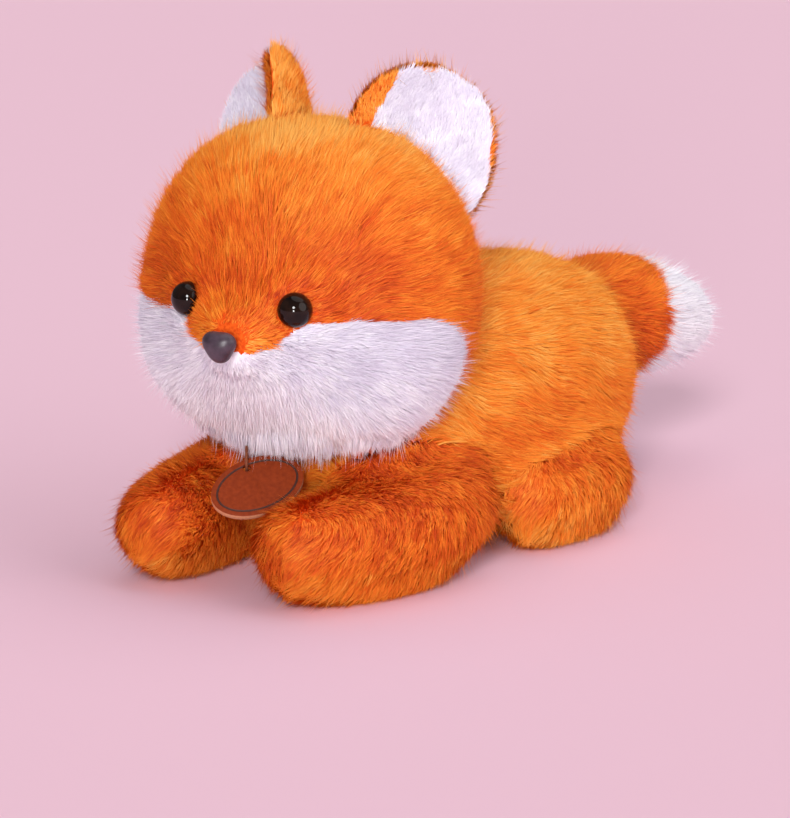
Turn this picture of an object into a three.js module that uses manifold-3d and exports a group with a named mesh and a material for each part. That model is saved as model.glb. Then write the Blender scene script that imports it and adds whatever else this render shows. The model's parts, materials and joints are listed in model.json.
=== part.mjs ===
// A lying plush fox: sewn pile-cloth covers round stuffing, safety eyes and nose, and a neck tag.
// Lengths are millimetres. The fox faces -y, its left side is on +x and the floor is z = 0.
import * as THREE from "three";
import { mergeVertices, toCreasedNormals } from "three/addons/utils/BufferGeometryUtils.js";
import Module from "manifold-3d";

const wasm = await Module();
wasm.setup();

const degrees = THREE.MathUtils.degToRad;

// Cloth and clearances
const pileDepth = 6; // backing and pile of the long-haired cloth together
const clearance = 0.3; // between any two pieces that touch
const restDepth = 0.5; // how far the fox's own weight flattens what it lies on
const cutOverrun = 60; // how far a cutting block runs past what it cuts

// Head
const headWidth = 122;
const headDepth = 100;
const headHeight = 117;
const chinHeight = 41.5; // of the head's lowest point over the floor
const headTurn = degrees(10.5);
const headFullness = 0.85;
const neckOpeningRadius = 19;
const neckOpeningDrop = degrees(35);

// Muzzle and cheeks, where the head swells outwards
const muzzleReach = 11;
const muzzleRadius = 34;
const muzzleDrop = 12;
const swellTop = 0.85; // a swell reaches its height at this share of the way to its middle
const cheekReach = 5;
const cheekRadius = 46;
const cheekAside = 46;
const cheekForward = 26;
const cheekDrop = 32;

// White face panels and the orange bridge between them
const panelTopDrop = 3.5; // top edge of the white, below the head's middle
const panelBack = 5.5; // where the white ends, behind the head's middle
const panelCornerRadius = 31;
const bridgeTopHalfWidth = 24;
const bridgeFootHalfWidth = 8;
const bridgeHeight = 9.5;

// Ears
const earWidth = 51;
const earLength = 58.5; // from its root inside the outline of the head to its tip
const earThickness = 10;
const earInnerCup = 14; // how far the edge nearest the other ear curls forwards
const earOuterCup = 24; // how far the outer edge curls forwards
const earCupSpread = 1.4; // 2 curls the edges alone, 1 folds the ear down its middle
const earInnerRim = 13.5; // orange edge beside the lining, towards the other ear, at its root
const earOuterRim = 1.5;
const earTipRim = 2.4; // past the lining's tip, and where the inner rim ends
const earTipInwards = 6; // how far the tip lies towards the other ear
const earFullness = 0.62;
const earGirthShares = [0.95, 1.04, 1.05, 1.04, 1.03, 1.02];
const liningFullness = 0.54;
const liningThickness = 6;
const liningForward = 4; // the lining's middle in front of the ear's middle
const earRootInset = 54; // in from the side of the head
const earRootBack = 17;
const earRootDrop = 36; // below the top of the head
const earFacing = degrees(50); // how far the lining looks outwards
const earLean = { left: degrees(42), right: degrees(30) }; // how far the tip leans outwards
const earTipBack = degrees(-8);

// Eyes
const eyeRadius = 5.6;
const eyeDomeHeight = 5;
const eyeSunk = 3;
const eyeAside = degrees(20.5);
const eyeAbove = degrees(1.5);

// Nose
const noseHalfWidth = 6.2;
const noseHalfHeight = 5.6;
const noseDomeHeight = 5;
const noseSunk = 2.5;
const noseBelow = degrees(9);
const noseCornerShare = 0.14;

// Stems and washers that hold the eyes and the nose
const stemRadius = 1.6;
const stemPastWasher = 2.5;
const washerRadius = 6.5;
const washerThickness = 1.2;

// Body
const bodyFront = 10; // reach of the chest in front of the head's middle
const bodyBack = 152; // reach of the rump behind the head's middle
const bodyHalfWidth = 48;
const bodyHalfHeight = 50;
const bodyFullness = 0.42;
const bodyGirthShares = [0.8, 0.92, 1, 1.02, 1.02];

// Legs
const legFullness = 0.5;
const frontLegRadius = 22;
const frontPawReach = { left: 55, right: 61 }; // in front of the head's middle
const frontPawAside = 24.5;
const elbowBack = 40;
const elbowAside = 38;
const shoulderRise = 8;
const frontLegGirthShares = [1.16, 1.1, 1, 0.98, 1.02];
const hindLegRadius = 19;
const hindPawBack = 56;
const hindPawAside = 44;
const haunchBack = 120;
const haunchAside = 38;
const haunchRise = 4;
const hindLegGirthShares = [1.15, 1.14, 1.06, 1, 1];

// Tail
const tailRootBack = 132;
const tailRootHeight = 72;
const tailEndBack = 232;
const tailEndHeight = 51;
const tailRadius = 23.5;
const tailFullness = 0.5;
const tailGirthShares = [0.86, 0.98, 1.02, 0.9, 0.76];
const tailTipLength = 53;

// Neck tag and the thread that it hangs on
const tagHalfWidth = 16.4;
const tagHalfHeight = 11.2;
const tagThickness = 2;
const tagHoleRadius = 1.5;
const tagHoleFromEdge = 3.2;
const tagHang = 0.5; // how far the hole's middle hangs below the thread
const hingeAside = -4; // from the head's middle, to the left
const hingeForward = 30; // in front of the head's middle
const hingeRise = -0.6; // above the head's lowest point
const tagTurn = degrees(40); // how far it faces to the left
const tagLean = degrees(48);
const tagRoll = degrees(26);
const tagLift = degrees(25); // how far it swings out from the chest
const tagLiftSteps = 3;
const threadRadius = 0.5;
const threadLoopRadius = 4.5;

// Fineness of the surfaces
const headGrid = { sides: 30, rings: 16 };
const bodyGrid = { sides: 26, rings: 16 };
const legGrid = { sides: 18, rings: 12 };
const tailGrid = { sides: 20, rings: 12 };
const earGrid = { sides: 18, rings: 12 };
const noseGrid = { sides: 18, rings: 10 };
const insideShare = 0.5; // the inside of a cover needs half as many faces each way
const roundSegments = 20;

const finishes = {
  orangePile: { color: 0xe8742a, roughness: 0.9, metalness: 0 },
  whitePile: { color: 0xf3edf1, roughness: 0.9, metalness: 0 },
  stuffing: { color: 0xf7f5ef, roughness: 1, metalness: 0 },
  eyePlastic: { color: 0x160b08, roughness: 0.08, metalness: 0 },
  nosePlastic: { color: 0x4b3b43, roughness: 0.35, metalness: 0 },
  washerPlastic: { color: 0xe9e6df, roughness: 0.5, metalness: 0 },
  leather: { color: 0x9a4726, roughness: 0.55, metalness: 0 },
  thread: { color: 0x6b3a22, roughness: 0.8, metalness: 0 },
};

const fullTurn = 2 * Math.PI;
const up = new THREE.Vector3(0, 0, 1);
const bothSides = { left: 1, right: -1 };

// A closed mesh as a solid for joining and cutting
function solidOf(geometry) {
  const bare = geometry.clone();
  bare.deleteAttribute("normal");
  bare.deleteAttribute("uv");
  const merged = mergeVertices(bare);
  return new wasm.Manifold(
    new wasm.Mesh({
      numProp: 3,
      vertProperties: merged.attributes.position.array,
      triVerts: new Uint32Array(merged.index.array),
    }),
  );
}

function meshOf(name, solid, finish) {
  const { vertProperties, triVerts } = solid.getMesh();
  const geometry = new THREE.BufferGeometry();
  geometry.setAttribute("position", new THREE.BufferAttribute(vertProperties, 3));
  geometry.setIndex(new THREE.BufferAttribute(triVerts, 1));
  const mesh = new THREE.Mesh(
    toCreasedNormals(geometry, degrees(40)),
    new THREE.MeshStandardMaterial(finish),
  );
  mesh.name = name;
  return mesh;
}

const joined = (solids) => solids.reduce((whole, solid) => whole.add(solid));
const cutBy = (solid, cutters) => cutters.reduce((left, cutter) => left.subtract(cutter), solid);

// A form is a function of turn, the angle round it, and along, from one pole (0) to the other (1).
function surfaceOf(form, { sides, rings }) {
  const points = [form(0, 0)];
  for (let ring = 1; ring < rings; ring++) {
    for (let side = 0; side < sides; side++) {
      points.push(form((side / sides) * fullTurn, ring / rings));
    }
  }
  points.push(form(0, 1));
  const farPole = points.length - 1;
  const at = (ring, side) => 1 + (ring - 1) * sides + (side % sides);
  const faces = [];
  for (let side = 0; side < sides; side++) {
    faces.push(0, at(1, side + 1), at(1, side));
    for (let ring = 1; ring < rings - 1; ring++) {
      faces.push(at(ring, side), at(ring, side + 1), at(ring + 1, side + 1));
      faces.push(at(ring, side), at(ring + 1, side + 1), at(ring + 1, side));
    }
    faces.push(farPole, at(rings - 1, side), at(rings - 1, side + 1));
  }
  const geometry = new THREE.BufferGeometry().setFromPoints(points);
  geometry.setIndex(faces);
  return geometry;
}

const solidForm = (form, grid) => solidOf(surfaceOf(form, grid));

// The direction out of a form, from small steps on it, or their mean round a pole
function outwards(form, turn, along) {
  const step = 1e-3;
  const offPole = Math.min(Math.max(along, 2 * step), 1 - 2 * step);
  const outAt = (angle) => {
    const round = form(angle + step, offPole).sub(form(angle - step, offPole));
    const onwards = form(angle, offPole + step).sub(form(angle, offPole - step));
    return round.cross(onwards).normalize();
  };
  if (offPole === along) return outAt(turn);
  const mean = new THREE.Vector3();
  for (let sample = 0; sample < 8; sample++) mean.add(outAt((sample / 8) * fullTurn));
  return mean.normalize();
}

const grown = (form, depth) => (turn, along) =>
  form(turn, along).addScaledVector(outwards(form, turn, along), depth);

const coarser = ({ sides, rings }) => ({
  sides: Math.round(sides * insideShare),
  rings: Math.round(rings * insideShare),
});

// A smooth value between shares that are spread evenly from 0 to 1
const blendShares = (shares, place) =>
  new THREE.SplineCurve(shares.map((share, index) => new THREE.Vector2(index, share))).getPoint(
    place,
  ).y;

const poleSpacing = (along) => (1 - Math.cos(Math.PI * along)) / 2;
const roundedEnd = (along, fullness) =>
  Math.pow(Math.max(Math.sin(Math.PI * along), 0), fullness);

// A stuffed tube along a level or sloping spine: it swells, tapers and has round ends.
function tubeForm({ spine, halfWidth, halfHeight, fullness, girthShares }) {
  return (turn, along) => {
    const place = poleSpacing(along);
    const girth = roundedEnd(along, fullness) * blendShares(girthShares, place);
    const ahead = spine.getTangentAt(place);
    const aside = new THREE.Vector3().crossVectors(up, ahead).normalize();
    const above = new THREE.Vector3().crossVectors(ahead, aside);
    return spine
      .getPointAt(place)
      .addScaledVector(aside, halfWidth * girth * Math.cos(turn))
      .addScaledVector(above, halfHeight * girth * Math.sin(turn));
  };
}

// A stuffed ball with swells: each pushes what lies within its radius.
function ballForm({ halfWidth, halfDepth, halfHeight, fullness, swells }) {
  return (turn, along) => {
    const rise = (along - 0.5) * Math.PI;
    const level = roundedEnd(along, fullness);
    const point = new THREE.Vector3(
      halfWidth * level * Math.cos(turn),
      halfDepth * level * Math.sin(turn),
      halfHeight * Math.sin(rise),
    );
    const push = new THREE.Vector3();
    for (const { at, reach, radius } of swells) {
      const nearness = THREE.MathUtils.smoothstep(1 - point.distanceTo(at) / radius, 0, swellTop);
      push.addScaledVector(reach, nearness);
    }
    return point.add(push);
  };
}

// A form lowered until the fox's weight presses it into the floor by restDepth
function resting(form, grid) {
  const surface = surfaceOf(form, grid);
  surface.computeBoundingBox();
  const lowered = new THREE.Vector3(0, 0, -restDepth - surface.boundingBox.min.z);
  return (turn, along) => form(turn, along).add(lowered);
}

// A cover as thick as its pile, and the stuffing that fills it
function sewn(form, grid, cutters) {
  const inside = solidForm(grown(form, -pileDepth), coarser(grid));
  const filling = solidForm(grown(form, -pileDepth - clearance), coarser(grid));
  return {
    cover: cutBy(solidForm(form, grid), [inside, ...cutters]),
    stuffing: cutBy(filling, cutters),
  };
}

function extruded(shape, depth, placing) {
  const geometry = new THREE.ExtrudeGeometry(shape, {
    depth,
    bevelEnabled: false,
    curveSegments: roundSegments / 2,
  });
  return solidOf(geometry.applyMatrix4(placing));
}

// Everything beyond a plane at z = from in the frame that placing gives
function beyond(from, placing) {
  const size = bodyBack + cutOverrun;
  const block = new THREE.BoxGeometry(2 * size, 2 * size, size).translate(0, 0, from + size / 2);
  return solidOf(block.applyMatrix4(placing));
}

const underFloor = beyond(0, new THREE.Matrix4().makeRotationX(Math.PI));

// Head
const headForm = ballForm({
  halfWidth: headWidth / 2,
  halfDepth: headDepth / 2,
  halfHeight: headHeight / 2,
  fullness: headFullness,
  swells: [
    {
      at: new THREE.Vector3(0, -headDepth / 2, -muzzleDrop),
      reach: new THREE.Vector3(0, -muzzleReach, 0),
      radius: muzzleRadius,
    },
    ...Object.values(bothSides).map((side) => ({
      at: new THREE.Vector3(side * cheekAside, -cheekForward, -cheekDrop),
      reach: new THREE.Vector3(side * cheekReach, -cheekReach / 2, -cheekReach / 2),
      radius: cheekRadius,
    })),
  ],
});

const head = new THREE.Group();
head.position.set(0, 0, chinHeight + headHeight / 2);
head.rotation.z = headTurn;
head.updateMatrix();

// The head with room round it, as it stands or in the frame that placing gives
const headCutter = (placing) =>
  solidOf(surfaceOf(grown(headForm, clearance), headGrid).applyMatrix4(placing));

// The frame of a button on the face: its z is straight out of the cloth.
function facePlace(toLeft, above) {
  const turn = toLeft - Math.PI / 2;
  const along = 0.5 + above / Math.PI;
  const out = outwards(headForm, turn, along);
  const tilt = new THREE.Quaternion().setFromUnitVectors(up, out);
  return new THREE.Matrix4().makeRotationFromQuaternion(tilt).setPosition(headForm(turn, along));
}

// The white part of the face: in front of panelBack and under panelTopDrop with a round corner
// between, less the orange bridge that runs down between the eyes to the nose.
function whiteRegion(growth) {
  const back = panelBack + growth;
  const top = growth - panelTopDrop;
  const corner = panelCornerRadius + growth;
  const sideView = new THREE.Shape();
  sideView.moveTo(-headDepth, -headHeight);
  sideView.lineTo(back, -headHeight);
  sideView.absarc(back - corner, top - corner, corner, 0, Math.PI / 2, false);
  sideView.lineTo(-headDepth, top);
  const foot = growth - panelTopDrop - bridgeHeight;
  const frontView = new THREE.Shape([
    new THREE.Vector2(growth - bridgeFootHalfWidth, foot),
    new THREE.Vector2(bridgeFootHalfWidth - growth, foot),
    new THREE.Vector2(bridgeTopHalfWidth - growth, top + clearance),
    new THREE.Vector2(growth - bridgeTopHalfWidth, top + clearance),
  ]);
  const forward = new THREE.Vector3(0, -1, 0);
  const toLeft = new THREE.Vector3(1, 0, 0);
  const toBack = new THREE.Vector3(0, 1, 0);
  const across = new THREE.Matrix4().makeBasis(toBack, up, toLeft).setPosition(-headWidth, 0, 0);
  const ahead = new THREE.Matrix4().makeBasis(toLeft, up, forward);
  return extruded(sideView, 2 * headWidth, across).subtract(
    extruded(frontView, headDepth, ahead),
  );
}

// Round pieces whose z axis is the line they are turned on
function turned(profile, placing) {
  const points = profile.map(([radius, height]) => new THREE.Vector2(radius, height));
  return solidOf(
    new THREE.LatheGeometry(points, roundSegments).rotateX(Math.PI / 2).applyMatrix4(placing),
  );
}

// How a button's stem goes in: past the cloth, through the washer and a little further
const stemEnd = pileDepth + clearance + washerThickness + stemPastWasher;

// A safety eye: a dome on a flat back, with its stem
function eyeProfile(growth) {
  const arc = [];
  const steps = 6;
  for (let step = 0; step <= steps; step++) {
    const angle = (step / steps) * (Math.PI / 2);
    arc.push([
      (eyeRadius + growth) * Math.cos(angle),
      (eyeDomeHeight + growth) * Math.sin(angle) - eyeSunk,
    ]);
  }
  arc[steps][0] = 0;
  return [
    [0, -stemEnd - growth],
    [stemRadius + growth, -stemEnd - growth],
    [stemRadius + growth, -eyeSunk - growth],
    [eyeRadius + growth, -eyeSunk - growth],
    ...arc,
  ];
}

const eyeSolid = (placing, growth) => turned(eyeProfile(growth), placing);

// The nose: a dome whose outline is a triangle with round corners and its point down
function noseSolid(placing, growth) {
  const dome = (turn, along) => {
    const rise = (along - 0.5) * Math.PI;
    const corner = 1 + noseCornerShare * Math.cos(3 * (turn + Math.PI / 2));
    const level = corner * roundedEnd(along, 1);
    return new THREE.Vector3(
      (noseHalfWidth + growth) * level * Math.cos(turn),
      (noseHalfHeight + growth) * level * Math.sin(turn),
      (rise > 0 ? noseDomeHeight + growth : noseSunk + growth) * Math.sin(rise),
    );
  };
  const stem = [
    [0, -stemEnd - growth],
    [stemRadius + growth, -stemEnd - growth],
    [stemRadius + growth, 0],
    [0, 0],
  ];
  return solidOf(surfaceOf(dome, noseGrid).applyMatrix4(placing)).add(turned(stem, placing));
}

// A washer behind the cloth, and the pocket round it and the stem's end
function washerSolid(placing) {
  const front = -pileDepth - clearance;
  const hole = stemRadius + clearance;
  const ring = [
    [hole, front - washerThickness],
    [washerRadius, front - washerThickness],
    [washerRadius, front],
    [hole, front],
    [hole, front - washerThickness],
  ];
  return turned(ring, placing);
}

function washerPocket(placing) {
  const radius = washerRadius + clearance;
  const depth = stemEnd + clearance;
  const pocket = [
    [0, -depth],
    [radius, -depth],
    [radius, -pileDepth],
    [0, -pileDepth],
  ];
  return turned(pocket, placing);
}

const buttons = [
  ...Object.entries(bothSides).map(([side, sign]) => ({
    name: `eye_${side}`,
    washerName: `eye_washer_${side}`,
    placing: facePlace(sign * eyeAside, eyeAbove),
    solid: eyeSolid,
    finish: finishes.eyePlastic,
  })),
  {
    name: "nose",
    washerName: "nose_washer",
    placing: facePlace(0, -noseBelow),
    solid: noseSolid,
    finish: finishes.nosePlastic,
  },
];

function makeHead() {
  const holes = buttons.flatMap(({ placing, solid }) => [
    solid(placing, clearance),
    washerPocket(placing),
  ]);
  const neckWay = new THREE.Matrix4().makeRotationX(-Math.PI / 2 - neckOpeningDrop);
  const neck = (radius) =>
    turned([[0, 0], [radius, 0], [radius, headDepth], [0, headDepth]], neckWay);
  const { cover, stuffing } = sewn(headForm, headGrid, holes);
  const open = cover.subtract(neck(neckOpeningRadius));
  const white = open.intersect(whiteRegion(0));
  const orange = open.subtract(whiteRegion(clearance));
  const plug = neck(neckOpeningRadius - clearance).intersect(solidForm(headForm, headGrid));
  head.add(meshOf("head_crown", orange, finishes.orangePile));
  head.add(meshOf("head_stuffing", cutBy(stuffing.add(plug), holes), finishes.stuffing));
  for (const [side, sign] of Object.entries(bothSides)) {
    const halfWay = new THREE.Matrix4().makeRotationY((sign * Math.PI) / 2);
    const half = white.intersect(beyond(clearance / 2, halfWay));
    head.add(meshOf(`cheek_${side}`, half, finishes.whitePile));
  }
  for (const { name, washerName, placing, solid, finish } of buttons) {
    head.add(meshOf(name, solid(placing, 0), finish));
    head.add(meshOf(washerName, washerSolid(placing), finishes.washerPlastic));
  }
}

// Ears: an orange back with a recess for the white lining, both cupped forwards. The lining
// lies further out than the middle of the back.
function earForm({ sign, rims, length, thickness, forward, fullness }) {
  return (turn, along) => {
    const place = poleSpacing(along);
    const innerRim = THREE.MathUtils.lerp(rims.inner, rims.tip, place);
    const halfWidth = (earWidth - innerRim - rims.outer) / 2;
    const offset = (innerRim - rims.outer) / 2;
    const girth = roundedEnd(along, fullness) * blendShares(earGirthShares, place);
    const aside = girth * (halfWidth * Math.cos(turn) + sign * offset);
    const cup = aside * sign > 0 ? earOuterCup : earInnerCup;
    const curl = cup * Math.abs((2 * aside) / earWidth) ** earCupSpread;
    const thick = (thickness / 2) * roundedEnd(along, fullness) * Math.sin(turn);
    const slant = sign * earTipInwards * place;
    return new THREE.Vector3(aside - slant, thick - curl - forward, length * place);
  };
}

function makeEar(side, sign) {
  const ear = new THREE.Group();
  ear.position.set(
    sign * (headWidth / 2 - earRootInset),
    earRootBack,
    headHeight / 2 - earRootDrop,
  );
  ear.rotation.set(-earTipBack, sign * earLean[side], sign * earFacing, "ZYX");
  ear.updateMatrix();
  const headHere = headCutter(ear.matrix.clone().invert());
  const backForm = earForm({
    sign,
    rims: { inner: 0, outer: 0, tip: 0 },
    length: earLength,
    thickness: earThickness,
    forward: 0,
    fullness: earFullness,
  });
  const liningForm = earForm({
    sign,
    rims: { inner: earInnerRim, outer: earOuterRim, tip: earTipRim },
    length: earLength - earTipRim,
    thickness: liningThickness,
    forward: liningForward,
    fullness: liningFullness,
  });
  const recess = solidForm(grown(liningForm, clearance), earGrid);
  const back = cutBy(solidForm(backForm, earGrid), [recess, headHere]);
  const lining = solidForm(liningForm, earGrid).subtract(headHere);
  ear.add(meshOf(`ear_back_${side}`, back, finishes.orangePile));
  ear.add(meshOf(`ear_lining_${side}`, lining, finishes.whitePile));
  head.add(ear);
}

// Body, legs and tail, each cut where a larger form takes the room
const spineThrough = (points) =>
  new THREE.CatmullRomCurve3(points.map((point) => new THREE.Vector3(...point)));

const bodyForm = resting(
  tubeForm({
    spine: spineThrough([
      [0, bodyBack, bodyHalfHeight],
      [0, -bodyFront, bodyHalfHeight],
    ]),
    halfWidth: bodyHalfWidth,
    halfHeight: bodyHalfHeight,
    fullness: bodyFullness,
    girthShares: bodyGirthShares.toReversed(),
  }),
  bodyGrid,
);

const frontLegForm = (sign, pawReach) =>
  resting(
    tubeForm({
      spine: spineThrough([
        [sign * elbowAside, elbowBack, frontLegRadius + shoulderRise],
        [sign * elbowAside, 0, frontLegRadius],
        [sign * frontPawAside, -pawReach, frontLegRadius],
      ]),
      halfWidth: frontLegRadius,
      halfHeight: frontLegRadius,
      fullness: legFullness,
      girthShares: frontLegGirthShares,
    }),
    legGrid,
  );

const hindLegForm = (sign) =>
  resting(
    tubeForm({
      spine: spineThrough([
        [sign * haunchAside, haunchBack, hindLegRadius + haunchRise],
        [sign * hindPawAside, hindPawBack, hindLegRadius],
      ]),
      halfWidth: hindLegRadius,
      halfHeight: hindLegRadius,
      fullness: legFullness,
      girthShares: hindLegGirthShares,
    }),
    legGrid,
  );

// Neck tag: a leather oval that swings where the thread passes through its hole
const hangingPlace = (lean) =>
  new THREE.Matrix4()
    .makeRotationFromEuler(new THREE.Euler(-lean, 0, tagTurn, "ZYX"))
    .setPosition(hingeAside, -hingeForward, chinHeight + hingeRise);

const tagPlace = (lift) =>
  hangingPlace(tagLean + lift).multiply(new THREE.Matrix4().makeRotationY(-tagRoll));

function tagSolid(lift, growth) {
  const oval = new THREE.Shape();
  const middle = tagHoleFromEdge - tagHalfHeight - tagHang;
  oval.absellipse(0, middle, tagHalfWidth + growth, tagHalfHeight + growth, 0, fullTurn);
  if (growth === 0) {
    const hole = new THREE.Path();
    hole.absarc(0, -tagHang, tagHoleRadius, 0, fullTurn, true);
    oval.holes.push(hole);
  }
  const thickness = tagThickness + 2 * growth;
  const upright = new THREE.Matrix4().makeRotationX(Math.PI / 2).setPosition(0, thickness / 2, 0);
  return extruded(oval, thickness, tagPlace(lift).multiply(upright));
}

// All the room that the tag takes as it swings
function tagRoom() {
  const lifts = Array.from({ length: tagLiftSteps + 1 }, (_, step) => (step / tagLiftSteps) * tagLift);
  return joined(lifts.map((lift) => tagSolid(lift, clearance)));
}

// The thread is a loop through the tag's hole, square to the tag at half its swing.
function threadSolid() {
  const loop = new THREE.TorusGeometry(threadLoopRadius, threadRadius, 8, roundSegments);
  loop.rotateY(Math.PI / 2).translate(0, 0, threadLoopRadius);
  loop.applyMatrix4(hangingPlace(tagLean + tagLift / 2));
  return solidOf(loop);
}

function makeTail(bodyCutter) {
  const spine = spineThrough([
    [0, tailRootBack, tailRootHeight],
    [0, tailEndBack, tailEndHeight],
  ]);
  const tailForm = tubeForm({
    spine,
    halfWidth: tailRadius,
    halfHeight: tailRadius,
    fullness: tailFullness,
    girthShares: tailGirthShares,
  });
  const { cover, stuffing } = sewn(tailForm, tailGrid, [bodyCutter]);
  const seamPlace = 1 - tailTipLength / spine.getLength();
  const ahead = new THREE.Quaternion().setFromUnitVectors(up, spine.getTangentAt(seamPlace));
  const seam = new THREE.Matrix4()
    .makeRotationFromQuaternion(ahead)
    .setPosition(spine.getPointAt(seamPlace));
  return [
    meshOf("tail_sleeve", cover.subtract(beyond(-clearance / 2, seam)), finishes.orangePile),
    meshOf("tail_tip", cover.intersect(beyond(clearance / 2, seam)), finishes.whitePile),
    meshOf("tail_stuffing", stuffing, finishes.stuffing),
  ];
}

function makeFox() {
  const fox = new THREE.Group();
  makeHead();
  fox.add(head);
  const headRoom = headCutter(head.matrix);
  const bodyRoom = solidForm(grown(bodyForm, clearance), bodyGrid);
  const swing = tagRoom();
  const body = sewn(bodyForm, bodyGrid, [headRoom, underFloor, swing]);
  fox.add(meshOf("body_cover", body.cover, finishes.orangePile));
  fox.add(meshOf("body_stuffing", body.stuffing, finishes.stuffing));
  for (const [side, sign] of Object.entries(bothSides)) {
    makeEar(side, sign);
    const limbs = {
      front_leg: frontLegForm(sign, frontPawReach[side]),
      hind_leg: hindLegForm(sign),
    };
    for (const [limb, form] of Object.entries(limbs)) {
      const cutters = [bodyRoom, headRoom, underFloor, swing];
      const { cover, stuffing } = sewn(form, legGrid, cutters);
      fox.add(meshOf(`${limb}_cover_${side}`, cover, finishes.orangePile));
      fox.add(meshOf(`${limb}_stuffing_${side}`, stuffing, finishes.stuffing));
    }
  }
  fox.add(...makeTail(bodyRoom));
  fox.add(meshOf("neck_tag", tagSolid(0, 0), finishes.leather));
  fox.add(meshOf("tag_thread", threadSolid().subtract(headRoom), finishes.thread));
  return fox;
}

// The part's origin is under the middle of the whole fox.
const fox = makeFox();
const bounds = new THREE.Box3().setFromObject(fox, true);
const middle = bounds.getCenter(new THREE.Vector3());
fox.position.set(-middle.x, -middle.y, -bounds.min.z);

const part = new THREE.Group();
part.add(fox);
export default part;
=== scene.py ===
"""Looks of the lying plush fox: padded skins, fibre pile, eyes, nose, leather neck tag, floor and lamps.

Lengths are metres in the part's own frame: the fox faces -Y, its left side is on +X, the floor is z = 0.
"""

import json
import math

import bmesh
import bpy
import numpy as np
from mathutils import Matrix, Vector
from mathutils.bvhtree import BVHTree
from mathutils.kdtree import KDTree


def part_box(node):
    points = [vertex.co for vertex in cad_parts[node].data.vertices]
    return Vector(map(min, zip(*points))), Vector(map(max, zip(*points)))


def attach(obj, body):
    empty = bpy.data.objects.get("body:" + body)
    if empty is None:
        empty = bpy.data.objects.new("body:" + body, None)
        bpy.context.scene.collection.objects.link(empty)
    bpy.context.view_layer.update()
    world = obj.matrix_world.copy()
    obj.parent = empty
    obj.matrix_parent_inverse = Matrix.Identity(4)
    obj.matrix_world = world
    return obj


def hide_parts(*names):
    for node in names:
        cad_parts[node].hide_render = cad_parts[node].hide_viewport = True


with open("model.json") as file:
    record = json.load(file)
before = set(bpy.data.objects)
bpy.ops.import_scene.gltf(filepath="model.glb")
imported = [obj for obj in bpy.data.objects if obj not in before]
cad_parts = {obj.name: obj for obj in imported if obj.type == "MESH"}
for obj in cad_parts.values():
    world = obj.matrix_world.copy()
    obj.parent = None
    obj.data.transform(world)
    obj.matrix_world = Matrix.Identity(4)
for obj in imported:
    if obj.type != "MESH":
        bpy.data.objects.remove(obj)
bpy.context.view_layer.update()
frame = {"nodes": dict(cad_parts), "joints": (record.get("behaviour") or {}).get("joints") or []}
nodes = frame["nodes"]
MM = 0.001
sides = (("left", 1), ("right", -1))

# Head: its middle, and how far it turns to the fox's left
hinge = Vector(frame["joints"][0]["pos_m"])
head_centre = hinge + Vector((4 * MM, 30 * MM, 59.1 * MM))
head_turn = math.radians(10.5)

# Neck tag: how it hangs, its oval, its hole and the line pressed in it
tag_turn = math.radians(40)
tag_lean = math.radians(48)
tag_roll = math.radians(26)
tag_lift = math.radians(25)
tag_half_width = 16.4 * MM
tag_half_height = 11.2 * MM
tag_thickness = 2 * MM
tag_hole_radius = 1.5 * MM
tag_hole_from_edge = 3.2 * MM
tag_hang = 0.5 * MM
tag_middle = tag_hole_from_edge - tag_half_height - tag_hang
tag_line_from_edge = 1.7 * MM
tag_line_width = 0.25 * MM
tag_line_depth = 0.22 * MM
tag_soft_edge = 0.25 * MM
tag_punch_length = 6 * MM

# Eyes and nose, and how near to their middles the pile comes
eye_radius = 5.8 * MM
eye_dome_height = 5.6 * MM
eye_sunk = 2.2 * MM
eye_clearing = 5.1 * MM
nose_half_width = 5.9 * MM
nose_half_height = 5.3 * MM
nose_dome_height = 4.8 * MM
nose_sunk = 2.5 * MM
nose_drop = 0.7 * MM
nose_corner_share = 0.12
nose_clearing = 6 * MM
stem_end = 10 * MM
stem_radius = 1.6 * MM
stem_overlap = 1 * MM
button_back = 0.6 * MM
through_head = 20 * MM

# Ears: places along them are shares of their length, from the root to the tip
ear_half_width = 16 * MM
ear_outer_swell = {"left": 0, "right": 1.5 * MM}
ear_inner_swell = 3 * MM
ear_outer_middle, ear_inner_middle, ear_swell_length = 0.5, 0.35, 0.3
ear_corner_drop = 4.5 * MM
ear_bluntness = {"left": 1.35, "right": 1.15}
ear_shortening = 0.95
ear_inner_rim = {"left": 10.5 * MM, "right": 20 * MM}
ear_outer_rim = {"left": 2.4 * MM, "right": 0.8 * MM}
ear_rim_places = (0.18, 0.25, 0.42, 0.65, 0.8, 0.95)
ear_rim_shares = {"left": (0, 0.8, 1, 0.85, 0.5, 0.1), "right": (1, 1, 1, 0.65, 0.2, 0)}
ear_root_zone = 6 * MM
lining_facing = 0.3
ear_bands = 24

# Skins: how finely they are made, and how deep under the ends of the pile they lie
head_voxel, trunk_voxel, ear_voxel = 2.6 * MM, 2.8 * MM, 1.3 * MM
head_easing, trunk_easing, ear_easing = 6, 6, 16
trunk_fillet = 7 * MM
head_depth, trunk_depth, ear_depth = 5.2 * MM, 4.6 * MM, 1.8 * MM
head_fill, trunk_fill, ear_fill = 0.8, 0.7, 0.4
same_place = 0.001 * MM

thinning = 1.0
fibre_width = 0.27 * MM * 1.0
lit_side = np.array([0.6, -0.7, 0.45])


def add_object(name, data):
    """A new object in the scene for this mesh, lamp or camera."""
    piece = bpy.data.objects.new(name, data)
    bpy.context.scene.collection.objects.link(piece)
    return piece


# Camera at the photograph's angle
camera_azimuth = math.radians(39)
camera_elevation = math.radians(13)
camera_distance = 1.2
camera_sensor, camera_lens = 36, 155.3
head_left_of_view = 28.2 * MM
head_above_view = 42.2 * MM


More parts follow.
